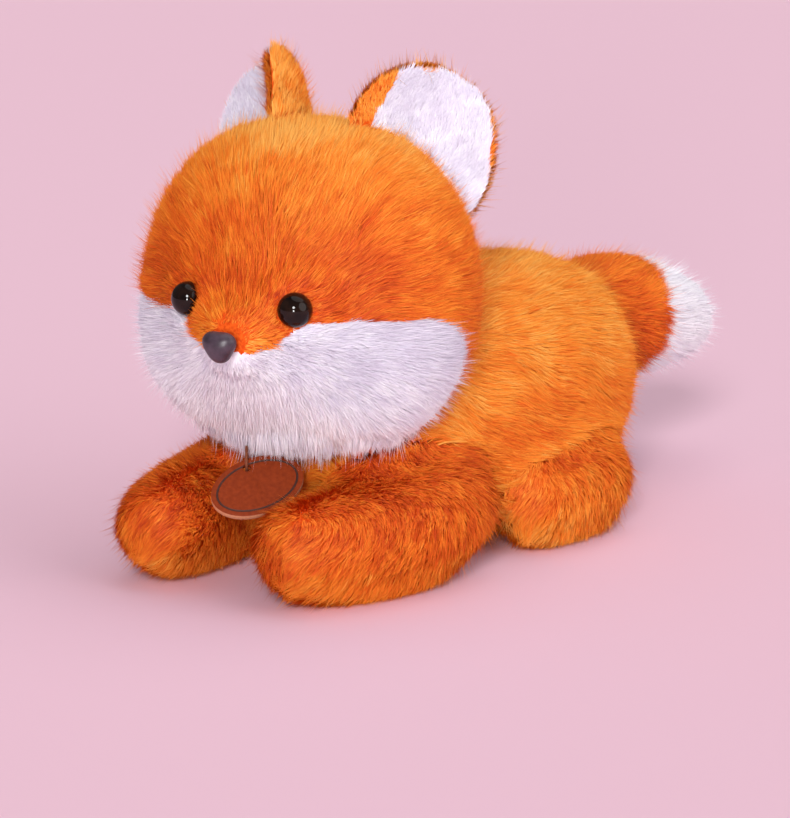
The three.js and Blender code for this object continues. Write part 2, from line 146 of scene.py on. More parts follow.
def set_camera():
    """Places the camera, and gives its directions backwards and to the right."""
    back = Vector((
        math.sin(camera_azimuth) * math.cos(camera_elevation),
        -math.cos(camera_azimuth) * math.cos(camera_elevation),
        math.sin(camera_elevation),
    ))
    right = Vector((math.cos(camera_azimuth), math.sin(camera_azimuth), 0))
    above = back.cross(right)
    camera = bpy.data.cameras.new("camera")
    camera.sensor_width = camera_sensor
    camera.lens = camera_lens
    seat = add_object("camera", camera)
    place = head_centre + back * camera_distance + right * head_left_of_view - above * head_above_view
    seat.matrix_world = Matrix.Translation(place) @ Matrix((right, above, back)).transposed().to_4x4()
    bpy.context.scene.camera = seat
    return back, right


camera_back, camera_right = set_camera()


# Materials
def from_srgb(red, green, blue):
    """A colour written as 0 to 255, as the linear value that a socket takes."""
    parts = [c / 255 for c in (red, green, blue)]
    return [c / 12.92 if c <= 0.04045 else ((c + 0.055) / 1.055) ** 2.4 for c in parts] + [1.0]


def new_material(name, roughness, **sockets):
    """A material with its node tree and shader. A socket's name has _ for each space."""
    material = bpy.data.materials.new(name)
    material.use_nodes = True
    shader = material.node_tree.nodes["Principled BSDF"]
    shader.inputs["Roughness"].default_value = roughness
    for socket, value in sockets.items():
        shader.inputs[socket.replace("_", " ")].default_value = value
    return material, material.node_tree, shader


def ramp(tree, source, stops):
    """The colour that these stops, each a position and a colour, give to a source from 0 to 1."""
    node = tree.nodes.new("ShaderNodeValToRGB")
    while len(node.color_ramp.elements) < len(stops):
        node.color_ramp.elements.new(0.5)
    for element, (position, colour) in zip(node.color_ramp.elements, stops):
        element.position = position
        element.color = colour
    tree.links.new(source, node.inputs["Fac"])
    return node.outputs["Color"]


def pile_material(name, tones, shaded_root, at_bend, sheen):
    """Pile: the map's width picks a fibre's tone, evenly from dark to light, and its height runs from
    root to tip, darker at the root and the bend: partly the fibre's own deeper colour there, partly painted
    shade of the depth of the pile."""
    material, tree, shader = new_material(
        name, 0.6, Specular_IOR_Level=0.2, Sheen_Weight=0.45, Sheen_Tint=from_srgb(*sheen)
    )
    reader = tree.nodes.new("ShaderNodeUVMap")
    reader.uv_map = "OFBake"
    parts = tree.nodes.new("ShaderNodeSeparateXYZ")
    tree.links.new(reader.outputs["UV"], parts.inputs["Vector"])
    last = len(tones) - 1
    stops = [(index / last, from_srgb(*colour)) for index, colour in enumerate(tones)]
    tone = ramp(tree, parts.outputs["X"], stops)
    # Painted shade: each fibre darker towards its root and bend, partly its own deeper colour
    shade = ramp(tree, parts.outputs["Y"], [(0, shaded_root), (0.4, at_bend), (1, (1, 1, 1, 1))])
    product = tree.nodes.new("ShaderNodeMix")
    product.data_type = "RGBA"
    product.blend_type = "MULTIPLY"
    product.inputs["Factor"].default_value = 1
    tree.links.new(tone, product.inputs["A"])
    tree.links.new(shade, product.inputs["B"])
    tree.links.new(product.outputs["Result"], shader.inputs["Base Color"])
    return material


relief_depth = 0.2 * MM


def mottled(name, dark, light, scale, roughness, bump=0.0, detail=5, stops=(0.3, 0.7), **sockets):
    """A finish that varies between two colours over the surface, with a relief where bump is given."""
    material, tree, shader = new_material(name, roughness, **sockets)
    place = tree.nodes.new("ShaderNodeTexCoord")
    noise = tree.nodes.new("ShaderNodeTexNoise")
    noise.inputs["Scale"].default_value = scale
    noise.inputs["Detail"].default_value = detail
    tree.links.new(place.outputs["Object"], noise.inputs["Vector"])
    colours = (from_srgb(*dark), from_srgb(*light))
    colour = ramp(tree, noise.outputs["Fac"], list(zip(stops, colours)))
    tree.links.new(colour, shader.inputs["Base Color"])
    if bump:
        relief = tree.nodes.new("ShaderNodeBump")
        relief.inputs["Strength"].default_value = bump
        relief.inputs["Distance"].default_value = relief_depth
        tree.links.new(noise.outputs["Fac"], relief.inputs["Height"])
        tree.links.new(relief.outputs["Normal"], shader.inputs["Normal"])
    return material


# Pile colours: tones from dark to light, with painted shade at the root and the bend
orange_pile = pile_material(
    "orange_pile",
    tones=[(170, 44, 8), (222, 84, 18), (244, 126, 34), (252, 158, 52), (255, 192, 96)],
    shaded_root=(0.94, 0.62, 0.5, 1),
    at_bend=(0.98, 0.9, 0.84, 1),
    sheen=(255, 146, 36),
)
white_pile = pile_material(
    "white_pile",
    tones=[(208, 196, 214), (226, 219, 234), (255, 253, 255)],
    shaded_root=(0.94, 0.91, 0.94, 1),
    at_bend=(0.99, 0.98, 0.99, 1),
    sheen=(210, 204, 222),
)
backing_cloth = dict(scale=900, roughness=0.95, detail=4, stops=(0.35, 0.65), Specular_IOR_Level=0.1)
orange_skin = mottled("orange_skin", (206, 68, 16), (238, 98, 28), **backing_cloth)
white_skin = mottled("white_skin", (234, 226, 236), (248, 243, 249), **backing_cloth)
eye_plastic = mottled("eye_plastic", (10, 6, 6), (34, 20, 14), 260, 0.07, Specular_IOR_Level=0.26)
nose_plastic = mottled("nose_plastic", (52, 40, 50), (78, 62, 74), 300, 0.38, bump=0.08)
washer_plastic = mottled("washer_plastic", (222, 218, 208), (236, 232, 224), 400, 0.5)
thread_fibre = mottled("thread_fibre", (92, 42, 22), (140, 74, 42), 2600, 0.8, bump=0.5)
tag_leather = mottled(
    "tag_leather", (118, 42, 13), (136, 52, 18), 700, 0.5, bump=0.35, Specular_IOR_Level=0.2
)
tag_edge = mottled("tag_edge", (176, 112, 78), (206, 146, 106), 1800, 0.75, bump=0.4)
tag_line = mottled("tag_line", (52, 22, 14), (74, 34, 22), 1500, 0.7)


# Points and directions, as arrays with one row each
def arrays_of(piece):
    """Vertices, triangles and vertex normals of a mesh of triangles."""
    mesh = piece.data
    verts = np.empty(len(mesh.vertices) * 3)
    mesh.vertices.foreach_get("co", verts)
    mesh.calc_loop_triangles()
    faces = np.empty(len(mesh.loop_triangles) * 3, int)
    mesh.loop_triangles.foreach_get("vertices", faces)
    normals = np.empty(len(mesh.vertices) * 3)
    mesh.vertex_normals.foreach_get("vector", normals)
    return verts.reshape(-1, 3), faces.reshape(-1, 3), normals.reshape(-1, 3)


def move_verts(piece, verts):
    piece.data.vertices.foreach_set("co", verts.ravel())
    piece.data.update()


def unit(vectors):
    return vectors / np.maximum(np.linalg.norm(vectors, axis=1, keepdims=True), 1e-12)


def flat_on(vectors, normals):
    """The part of each vector along the surface, as a unit vector."""
    return unit(vectors - normals * np.sum(vectors * normals, axis=1, keepdims=True))


def turned(vectors, normals, angles):
    """Vectors along the surface, turned about its normals."""
    sideways = np.cross(normals, vectors)
    return vectors * np.cos(angles)[:, None] + sideways * np.sin(angles)[:, None]


def in_head(points):
    """Points in the head's own frame: x to its left, y backwards, z up."""
    moved = points - np.array(head_centre)
    cos, sin = math.cos(head_turn), math.sin(head_turn)
    x = moved[:, 0] * cos + moved[:, 1] * sin
    y = -moved[:, 0] * sin + moved[:, 1] * cos
    return np.stack([x, y, moved[:, 2]], 1)


def from_head(vectors):
    """Directions in the head's frame, as the part's own."""
    cos, sin = math.cos(head_turn), math.sin(head_turn)
    x, y, z = vectors.T
    return np.stack([x * cos - y * sin, x * sin + y * cos, z], 1)


def rise(values, start, length):
    """0 up to the start, then evenly up to 1 over this length."""
    return np.clip((values - start) / length, 0, 1)


def bell(*steps):
    """1 in the middle, where every step is 0, and fading all round it."""
    return np.exp(-sum(step**2 for step in steps))


def waves(points, length, seed):
    """A smooth number between about -1 and 1 that changes over this length."""
    random = np.random.default_rng(seed)
    total = np.zeros(len(points))
    for _ in range(6):
        direction = random.normal(size=3)
        direction *= 2 * math.pi / (length * random.uniform(0.7, 1.6) * np.linalg.norm(direction))
        total += np.sin(points @ direction + random.uniform(0, 2 * math.pi))
    return total / 3


def tree_of(names):
    """The faces of these CAD nodes, for finding the nearest."""
    verts, faces, start = [], [], 0
    for node in names:
        v, f, _ = arrays_of(nodes[node])
        verts += v.tolist()
        faces += (f + start).tolist()
        start += len(v)
    return BVHTree.FromPolygons(verts, faces)


def nearest_distance(tree, points):
    return np.array([tree.find_nearest(point)[3] for point in points])


# Buttons that the pile keeps off
class Button:
    """An eye or the nose: its middle, the way that it faces, and how near the pile comes."""

    def __init__(self, node, reach):
        low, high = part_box(node)
        verts = arrays_of(nodes[node])[0]
        crest = verts[np.argmax(in_head(verts) @ np.array([0, -1, 0]))]
        self.centre = np.array((low + high) / 2)
        self.out = unit((crest - np.array(head_centre))[None])[0]
        self.reach = reach

    def aside(self, points):
        """How far each point is from the button's line, and a metre more behind the head's middle."""
        moved = points - self.centre
        along = moved @ self.out
        beside = np.linalg.norm(moved - along[:, None] * self.out, axis=1)
        return beside + np.where(along < -through_head, 1, 0)

    def away(self, points):
        return np.linalg.norm(points - self.centre, axis=1)


buttons = [
    Button("eye_left", eye_clearing),
    Button("eye_right", eye_clearing),
    Button("nose", nose_clearing),
]


def in_tag_room(points, margin):
    """Which points lie where the neck tag swings, with a margin round it."""
    moved = points - np.array(hinge)
    cos, sin = math.cos(tag_turn), math.sin(tag_turn)
    x = moved[:, 0] * cos + moved[:, 1] * sin
    y = moved[:, 1] * cos - moved[:, 0] * sin
    z = moved[:, 2]
    reach = np.hypot(y, z)
    angle = np.arctan2(-y, -z)
    spare = np.arcsin(np.clip((tag_thickness / 2 + margin) / np.maximum(reach, same_place), 0, 1))
    swung = (angle > tag_lean - spare) & (angle < tag_lean + tag_lift + spare)
    cos, sin = math.cos(tag_roll), math.sin(tag_roll)
    across = (x * cos - reach * sin) / (tag_half_width + margin)
    down = (-x * sin - reach * cos - tag_middle) / (tag_half_height + margin)
    return swung & (across**2 + down**2 < 1)


# Skins: each padded form is made from the CAD solids that it stands for
def deselect():
    bpy.ops.object.select_all(action="DESELECT")


def select_only(piece):
    deselect()
    piece.select_set(True)
    bpy.context.view_layer.objects.active = piece


def apply_modifier(piece, name, kind, **settings):
    modifier = piece.modifiers.new(name, kind)
    for setting, value in settings.items():
        setattr(modifier, setting, value)
    select_only(piece)
    bpy.ops.object.modifier_apply(modifier=name)


def merged(name, names):
    """One new piece with the faces of these CAD nodes."""
    gathered = bmesh.new()
    for node in names:
        gathered.from_mesh(nodes[node].data)
    bmesh.ops.remove_doubles(gathered, verts=gathered.verts, dist=same_place)
    mesh = bpy.data.meshes.new(name)
    gathered.to_mesh(mesh)
    gathered.free()
    mesh.materials.clear()
    return add_object(name, mesh)


def keep_largest(piece):
    """Only the outer skin stays: the small closed islands inside are removed."""
    mesh = bmesh.new()
    mesh.from_mesh(piece.data)
    left = set(mesh.verts)
    islands = []
    while left:
        island, edge = set(), [next(iter(left))]
        while edge:
            vert = edge.pop()
            if vert not in left:
                continue
            left.discard(vert)
            island.add(vert)
            edge.extend(e.other_vert(vert) for e in vert.link_edges)
        islands.append(island)
    largest = max(islands, key=len)
    stray = [v for island in islands if island is not largest for v in island]
    bmesh.ops.delete(mesh, geom=stray, context="VERTS")
    bmesh.ops.triangulate(mesh, faces=mesh.faces)
    mesh.to_mesh(piece.data)
    mesh.free()


class Outline:
    """The closed surface that a form's pile reaches to, for telling what lies near it or inside."""

    def __init__(self, verts, faces):
        self.tree = BVHTree.FromPolygons(verts.tolist(), faces.tolist())
        self.low, self.high = verts.min(0), verts.max(0)

    def nearest(self, points, limit):
        """The normal at the nearest place on the outline and how far that is, up to this limit."""
        near = np.all((points > self.low - limit) & (points < self.high + limit), axis=1)
        way, far = np.zeros_like(points), np.full(len(points), limit)
        for index in np.nonzero(near)[0]:
            _, normal, _, gap = self.tree.find_nearest(points[index])
            if gap < limit:
                way[index], far[index] = normal, gap
        return way, far

    def holds(self, points):
        """Which of these points lie inside the outline."""
        near = np.all((points > self.low) & (points < self.high), axis=1)
        inside = np.zeros(len(points), bool)
        for index in np.nonzero(near)[0]:
            at, normal, _, _ = self.tree.find_nearest(points[index])
            inside[index] = (Vector(points[index]) - at).dot(normal) < 0
        return inside


def knit(piece, voxel):
    """One even outer skin in place of what overlaps."""
    apply_modifier(piece, "knit", "REMESH", mode="VOXEL", voxel_size=voxel)
    keep_largest(piece)


def make_skin(name, names, voxel, ease, fillet=0.0):
    """A skin over these CAD nodes. The fillet rounds the seams between them, as a rolled ball would."""
    piece = merged(name, names)
    knit(piece, voxel)
    if fillet:
        apply_modifier(piece, "swell", "DISPLACE", strength=fillet, mid_level=0)
        knit(piece, voxel)
        apply_modifier(piece, "return", "DISPLACE", strength=-fillet, mid_level=0)
    apply_modifier(piece, "ease", "SMOOTH", factor=0.5, iterations=ease)
    return piece, Outline(*arrays_of(piece)[:2])


# A skin is drawn in less on the floor, near the form that it is sewn to, and round a button
sole_sink, sole_height, sole_share = 1 * MM, 9 * MM, 0.15
seam_limit, seam_start, seam_length, seam_overlap = 9 * MM, 7 * MM, 6 * MM, 1.5 * MM
socket_start, socket_length, socket_share = 5 * MM, 10 * MM, 0.55
skin_over_floor = 0.5 * MM


def draw_in(piece, depth, sewn_to):
    """Draws a skin in by the depth of the pile, and lets its root reach into what it is sewn to."""
    verts = arrays_of(piece)[0]
    share = np.clip((verts[:, 2] + sole_sink) / sole_height, sole_share, 1)
    reach = np.zeros_like(verts)
    for parent in sewn_to:
        way, gap = parent.nearest(verts, seam_limit)
        root = np.clip((seam_start - gap) / seam_length, 0, 1)
        reach -= way * (root * (depth + seam_overlap))[:, None]
        share = np.minimum(share, 1 - root)
    for button in buttons:
        near = np.clip((button.away(verts) - socket_start) / socket_length, socket_share, 1)
        share = np.minimum(share, near)
    group = piece.vertex_groups.new(name="depth")
    for index, weight in enumerate(share):
        group.add([index], weight, "REPLACE")
    apply_modifier(piece, "shrink", "DISPLACE", strength=-depth, mid_level=0, vertex_group="depth")
    verts = arrays_of(piece)[0] + reach
    verts[:, 2] = np.maximum(verts[:, 2], skin_over_floor)
    move_verts(piece, verts)
    apply_modifier(piece, "settle", "SMOOTH", factor=0.5, iterations=3)


class Form:
    """A padded piece, with the skin that its pile grows on."""

    def __init__(self, piece, names, outline, fill):
        self.piece, self.outline = piece, outline
        self.verts, self.faces, self.normals = arrays_of(piece)
        self.declare(names, fill)

    def declare(self, names, fill):
        self.piece.data.shade_smooth()
        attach(self.piece, "fox")
        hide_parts(*names)


class Part(Form):
    """One sewn part of a larger skin, closed at its seams."""

    def __init__(self, name, whole, chosen, names, outline, fill):
        verts, faces, normals = arrays_of(whole)
        faces = faces[chosen]
        used = np.unique(faces)
        number = np.full(len(verts), -1)
        number[used] = np.arange(len(used))
        self.verts, self.faces, self.normals = verts[used], number[faces], normals[used]
        self.outline = outline
        mesh = bpy.data.meshes.new(name)
        mesh.from_pydata(self.verts.tolist(), [], self.faces.tolist())
        closed = bmesh.new()
        closed.from_mesh(mesh)
        open_edges = [edge for edge in closed.edges if edge.is_boundary]
        caps = bmesh.ops.holes_fill(closed, edges=open_edges, sides=0)["faces"]
        bmesh.ops.triangulate(closed, faces=caps)
        closed.to_mesh(mesh)
        closed.free()
        self.piece = add_object(name, mesh)
        self.declare(names, fill)


class Ear:
    """The lie of one ear: along from its root to its tip, across from its inner to its outer edge."""

    def __init__(self, side, sign):
        self.names = [f"ear_back_{side}", f"ear_lining_{side}"]
        self.inner_rim, self.outer_rim = ear_inner_rim[side], ear_outer_rim[side]
        self.rim_shares = ear_rim_shares[side]
        self.skin, _ = make_skin(f"ear_skin_{side}", self.names, ear_voxel, ear_easing)
        verts = arrays_of(self.skin)[0]
        from_centre = np.linalg.norm(verts - np.array(head_centre), axis=1)
        self.root = verts[from_centre < from_centre.min() + ear_root_zone].mean(0)
        tip = verts[np.argmax(from_centre)]
        front = np.linalg.svd(verts - verts.mean(0), full_matrices=False)[2][2]
        self.front = front * -np.sign(front[1])
        self.length = np.linalg.norm(tip - self.root)
        self.along = (tip - self.root) / self.length
        across = np.cross(self.along, self.front)
        self.across = across / np.linalg.norm(across) * np.sign(across[0]) * sign
        self.round_off(verts, ear_outer_swell[side], ear_bluntness[side])
        self.outline = Outline(*arrays_of(self.skin)[:2])
        self.find_edges()

    def places(self, points):
        """How far along each point is, as a share of the length, and how far across."""
        moved = points - self.root
        return moved @ self.along / self.length, moved @ self.across

    def round_off(self, verts, outer_swell, bluntness):
        """A blunter tip, more width, and an inner corner that reaches down to the crown."""
        along, across = self.places(verts)
        outer = np.clip(across / ear_half_width, 0, 1)
        inner = np.clip(-across / ear_half_width, 0, 1)
        risen = ear_shortening * np.sin(bluntness * along) / math.sin(bluntness) - along
        risen = np.where(along > 0, risen, 0) * self.length
        risen -= ear_corner_drop * inner * np.clip((ear_outer_middle - along) / ear_swell_length, 0, 1)
        wider = outer_swell * bell((along - ear_outer_middle) / ear_swell_length) * outer
        wider -= ear_inner_swell * bell((along - ear_inner_middle) / ear_swell_length) * inner
        move_verts(self.skin, verts + risen[:, None] * self.along + wider[:, None] * self.across)

    def find_edges(self):
        """Where the inner and the outer edge lie, in bands from the root to the tip."""
        along, across = self.places(arrays_of(self.skin)[0])
        self.steps = np.linspace(0, along.max(), ear_bands)
        band = np.clip(np.searchsorted(self.steps, along), 1, ear_bands - 1)
        bands = [across[band == max(step, 1)] for step in range(ear_bands)]
        self.inner = np.array([places.min() for places in bands])
        self.outer = np.array([places.max() for places in bands])

    def on_lining(self, points, normals):
        """Inside the rim, which is wide towards the other ear."""
        along, across = self.places(points)
        inner_rim = self.inner_rim * np.interp(along, ear_rim_places, self.rim_shares)
        inside = across > np.interp(along, self.steps, self.inner) + inner_rim
        inside &= across < np.interp(along, self.steps, self.outer) - self.outer_rim
        inside &= along < self.steps[-1] - self.outer_rim / self.length
        return inside & (normals @ self.front > lining_facing)


# Padded forms: the head, the two ears, and the trunk cut into body, legs and tail at its seams
head_nodes = ["head_crown", "cheek_left", "cheek_right", "head_stuffing"]
trunk_nodes = {"body": ["body_cover", "body_stuffing"], "tail": ["tail_sleeve", "tail_tip", "tail_stuffing"]}
for side, _ in sides:
    for limb in ("front_leg", "hind_leg"):
        trunk_nodes[f"{limb}_{side}"] = [f"{limb}_cover_{side}", f"{limb}_stuffing_{side}"]

head_skin, head_outline = make_skin("head_skin", head_nodes, head_voxel, head_easing)
trunk_skin, trunk_outline = make_skin(
    "trunk_skin", sum(trunk_nodes.values(), []), trunk_voxel, trunk_easing, trunk_fillet
)
ears = {side: Ear(side, sign) for side, sign in sides}
outlines = [head_outline, trunk_outline] + [ear.outline for ear in ears.values()]

forms = {}
draw_in(head_skin, head_depth, [])
forms["head"] = Form(head_skin, head_nodes, head_outline, head_fill)
for side, ear in ears.items():
    draw_in(ear.skin, ear_depth, [head_outline])
    forms[f"ear_{side}"] = Form(ear.skin, ear.names, ear.outline, ear_fill)


def cut_trunk():
    """Each face of the trunk's skin goes to the part whose cover is nearest."""
    verts, faces, _ = arrays_of(trunk_skin)
    middles = verts[faces].mean(1)
    covers = [[node for node in names if "stuffing" not in node] for names in trunk_nodes.values()]
    owner = np.argmin([nearest_distance(tree_of(names), middles) for names in covers], axis=0)
    draw_in(trunk_skin, trunk_depth, [head_outline])
    for index, (part, names) in enumerate(trunk_nodes.items()):
        forms[part] = Part(f"{part}_skin", trunk_skin, owner == index, names, trunk_outline, trunk_fill)
    bpy.data.objects.remove(trunk_skin)


cut_trunk()

# Pile: single fibres, each a thin leaf with a root, a bend and a tip
probe_height = 3 * MM
comb_wave, lock_wave = 22 * MM, 7 * MM
tuft_sizes = (1.7 * MM, 5 * MM)
tuft_tone_spread, tone_spread, tone_limits, tone_columns = 0.06, 0.12, (0.02, 0.98), 32
bend_lean, lock_share = 0.4, 0.4
below_bend, above_bend, bend_width = 0.45, 0.55, 0.85
length_range, width_range = (0.7, 1.12), (0.75, 1.2)
root_slope_spread, tip_slope_spread = 0.14, 0.16
guard_root_rise, guard_tip_rise, guard_width, guard_lean = 0.15, 0.3, 0.55, 0.3
facing_spread, facing_with_run, facing_to_light = 0.22, 0.2, 0.25
crossing_share, crossing_cut = 0.1, 0.6
short_by_button, button_fade_start, button_fade = 0.32, 4 * MM, 9 * MM
tag_margin = 0.8 * MM
bend_over_floor, tip_over_floor = 0.4 * MM, 0.3 * MM


def scatter_roots(form, density, random):
    """Roots spread over a form, with the way out of it at each, but none that another form hides."""
    corners = form.verts[form.faces]
    normal = np.cross(corners[:, 1] - corners[:, 0], corners[:, 2] - corners[:, 0])
    area = np.linalg.norm(normal, axis=1) / 2
    middle = corners.mean(1) + unit(normal) * probe_height
    hidden = np.zeros(len(corners), bool)
    for other in outlines:
        if other is not form.outline:
            hidden |= other.holds(middle)
    count = np.where(hidden, 0, area / MM**2 * density * thinning)
    count = np.floor(count + random.random(len(count))).astype(int)
    face = np.repeat(np.arange(len(corners)), count)
    a, b = random.random((2, len(face)))
    flip = a + b > 1
    a[flip], b[flip] = 1 - a[flip], 1 - b[flip]
    weights = np.stack([1 - a - b, a, b], 1)[:, :, None]
    root = (corners[face] * weights).sum(1)
    out = unit((form.normals[form.faces[face]] * weights).sum(1))
    return root, out


def gather_in_tufts(root, bend, tip, is_guard, clump, density, random):
    """Leans bends and tips together, in small tufts within large ones, and gives each tuft its tone."""
    number = len(root)
    tuft_tone = np.zeros(number)
    for size, hold in zip(tuft_sizes, clump):
        step = max(int(density * thinning * (size / MM) ** 2), 2)
        seeds = random.permutation(number)[: max(number // step, 1)]
        tree = KDTree(len(seeds))
        for index, at in enumerate(root[seeds]):
            tree.insert(at, index)
        tree.balance()
        nearest = np.array([tree.find(at)[1] for at in root])
        leader = seeds[nearest]
        is_near = np.linalg.norm(root - root[leader], axis=1) < 2 * size
        pull = hold * np.where(is_guard, guard_lean, 1) * is_near
        tip += (tip[leader] - tip) * pull[:, None]
        bend += (bend[leader] - bend) * (bend_lean * pull)[:, None]
        tuft_tone += random.normal(0, tuft_tone_spread, len(seeds))[nearest]
    return tuft_tone


def stop_at_buttons(bend, tip, random):
    """Shortens fibres that would cross a button, apart from a few, and tells which of them can stay."""
    stays = np.ones(len(tip), bool)
    for button in buttons:
        crossing = (button.aside(tip) < button.reach) & (random.random(len(tip)) > crossing_share)
        for _ in range(3):
            tip[crossing] = bend[crossing] + (tip[crossing] - bend[crossing]) * crossing_cut
            crossing &= button.aside(tip) < button.reach
        stays &= ~(crossing & (button.aside(bend) < button.reach))
    return stays


def grow(name, form, chosen, comb, material, slot, *, density, length, lift, tone, shape=None,
         clump=(0.4, 0.2), spread=0.16, wander=0.3, guard=0.06, stray=1.5, twist=0.9, shading=None, seed=1):
    """Grows the pile of one region.

    chosen tells which roots belong to it, and comb the way that they are combed. density is fibres
    to a square millimetre, lift their slope in degrees at root and tip, and tone goes from dark, 0,
    to light, 1. shape gives each root's share of the length and its change of tone. clump is how far
    small and large tufts lean together, spread how far neighbours and wander how far locks differ in
    direction. guard is the share of guard fibres, stray times as long. twist is how far a leaf may
    roll, and shading turns the way that leaves face.
    """
    random = np.random.default_rng(seed)
    root, out = scatter_roots(form, density, random)
    pick = chosen(root, out)
    for button in buttons:
        pick &= button.aside(root) > button.reach
    root, out = root[pick], out[pick]
    number = len(root)

    way = flat_on(comb(root, out), out)
    astray = wander * waves(root, comb_wave, seed)
    astray += lock_share * wander * waves(root, lock_wave, seed + 1)
    way = turned(way, out, astray)
    share, tint = shape(root, out) if shape else (np.ones(number), np.zeros(number))
    is_guard = random.random(number) < guard
    for button in buttons:
        near = (button.away(root) - button_fade_start) / button_fade
        share = share * np.clip(near, short_by_button, 1)
    reach = length * share * random.uniform(*length_range, number) * np.where(is_guard, stray, 1)
    low = math.radians(lift[0]) + random.normal(0, root_slope_spread, number)
    low += np.where(is_guard, guard_root_rise, 0)
    high = math.radians(lift[1]) + random.normal(0, tip_slope_spread, number)
    high += np.where(is_guard, guard_tip_rise, 0)
    way = turned(way, out, random.normal(0, spread, number))
    first = way * np.cos(low)[:, None] + out * np.sin(low)[:, None]
    second = way * np.cos(high)[:, None] + out * np.sin(high)[:, None]
    bend = root + first * (below_bend * reach)[:, None]
    tip = bend + second * (above_bend * reach)[:, None]

    tuft_tone = gather_in_tufts(root, bend, tip, is_guard, clump, density, random)
    stays = stop_at_buttons(bend, tip, random)
    for points in (root, bend, tip, (bend + tip) / 2, (root + bend) / 2):
        stays &= ~in_tag_room(points, tag_margin)
    bend[:, 2] = np.maximum(bend[:, 2], bend_over_floor)
    tip[:, 2] = np.maximum(tip[:, 2], tip_over_floor)
    root, out, bend, tip, tint, tuft_tone, is_guard = (
        values[stays] for values in (root, out, bend, tip, tint, tuft_tone, is_guard)
    )
    number = len(root)

    run = unit(tip - root)
    side = unit(np.cross(run, out))
    roll = random.uniform(-twist, twist, number)[:, None]
    side = side * np.cos(roll) + np.cross(run, side) * np.sin(roll)
    width = fibre_width / 2 * random.uniform(*width_range, number) * np.where(is_guard, guard_width, 1)
    half = side * width[:, None]
    tilt = facing_spread * random.normal(size=out.shape)
    facing = unit(out + tilt + facing_with_run * run + facing_to_light * lit_side)
    if shading:
        facing = unit(facing + shading(root, out))
    half[np.sum(np.cross(half, run) * facing, 1) < 0] *= -1
    at_bend = half * bend_width
    places = np.stack([root - half, root + half, bend + at_bend, bend - at_bend, tip], 1)
    value = np.clip(tone + tint + tuft_tone + random.normal(0, tone_spread, number), *tone_limits)
    make_leaves(name, places, facing, value, material)


def make_leaves(name, places, facing, value, material):
    """One mesh of leaves, each a strip from its root to its bend and a triangle on to its tip.

    On the map a leaf lies in the narrow column of its tone. It is shaded as if it faced its own way.
    """
    number = len(places)
    mesh = bpy.data.meshes.new(name)
    mesh.vertices.add(5 * number)
    mesh.loops.add(7 * number)
    mesh.polygons.add(2 * number)
    mesh.vertices.foreach_set("co", places.reshape(-1))
    first = (np.arange(number) * 5)[:, None]
    mesh.loops.foreach_set("vertex_index", (first + np.array([0, 1, 2, 3, 3, 2, 4])).ravel())
    start = (np.arange(number) * 7)[:, None]
    mesh.polygons.foreach_set("loop_start", (start + np.array([0, 4])).ravel())
    mesh.update(calc_edges=True)
    mesh.shade_smooth()
    uv = mesh.uv_layers.new(name="OFBake")
    column = (np.floor(value * tone_columns) + 0.5) / tone_columns
    edge = np.array([-1, 1, 1, -1, -1, 1, 0]) * 0.003
    height = np.array([0.01, 0.01, 0.45, 0.45, 0.45, 0.45, 0.99])
    flat = np.empty((number, 7, 2))
    flat[:, :, 0] = column[:, None] + edge
    flat[:, :, 1] = height
    uv.data.foreach_set("uv", flat.ravel())
    mesh.normals_split_custom_set_from_vertices(np.repeat(facing, 5, axis=0).tolist())
    mesh.materials.append(material)
    piece = add_object(name, mesh)
    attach(piece, "fox")


def all_of(points, _):
    return np.ones(len(points), bool)


def none_of(points, _):
    return np.zeros(len(points), bool)


def skin_colours(form, chosen=none_of):
    """Orange cloth for a skin, and white cloth for its chosen parts."""
    mesh = form.piece.data
    mesh.materials.append(orange_skin)
    mesh.materials.append(white_skin)
    verts, faces, normals = arrays_of(form.piece)
    is_white = chosen(verts[faces].mean(1), unit(normals[faces].mean(1)))
    mesh.polygons.foreach_set("material_index", is_white.astype(int))


orange = dict(material=orange_pile, slot="orange_pile")
white = dict(material=white_pile, slot="white_pile")

# Pile of the head, with places in the head's own frame
crown_look = dict(orange, density=5.2, length=8.8 * MM, lift=(48, 24), tone=0.29, clump=(0.3, 0.14))
cheek_look = dict(
    white, density=7.5, length=7 * MM, lift=(46, 24), tone=0.6, clump=(0.14, 0.06), wander=0.2
)
fringe_look = dict(white, density=6, length=8.5 * MM, lift=(50, 42), tone=0.78, clump=(0.5, 0.2))
chin_look = dict(white, density=5, length=4 * MM, lift=(34, 14), tone=0.8)
nose_top = np.array([0, -60 * MM, -11 * MM])
muzzle_middle = np.array([0, -60 * MM, -14 * MM])
crown_front = -4 * MM
comb_down_below, comb_down_over = 18 * MM, 40 * MM
crown_full_over, crown_wave = 55 * MM, 30 * MM
# Where painted light rises over the crown's top and temples, and painted shade lies at the brow
top_start, top_length = 4 * MM, 50 * MM
brow_height, brow_depth, brow_width = 5 * MM, 6 * MM, 26 * MM
bridge_reach = 24 * MM
temple_start, temple_width = 34 * MM, 26 * MM
cheek_full_over, cheek_wave = 50 * MM, 25 * MM
jaw_start, jaw_length = 14 * MM, 40 * MM
muzzle_reach, left_cheek_width = 34 * MM, 30 * MM
chin_edge, cheek_edge = -42 * MM, -46 * MM
chin_waver, chin_wave, chin_back, chin_facing = 3 * MM, 14 * MM, 34 * MM, -0.9
fringe_right, fringe_width, fringe_longer = 9 * MM, 16 * MM, 0.42
crown_tree = tree_of(["head_crown"])
cheek_tree = tree_of(["cheek_left", "cheek_right"])


def on_cheeks(points, _):
    return nearest_distance(cheek_tree, points) < nearest_distance(crown_tree, points)


def on_side(points, sign):
    """Which points are on the head's left, for 1, or on its right, for -1."""
    return in_head(points)[:, 0] * sign > 0


def in_front(points):
    return in_head(points)[:, 1] < crown_front


def under_chin(normals):
    return normals[:, 2] < chin_facing


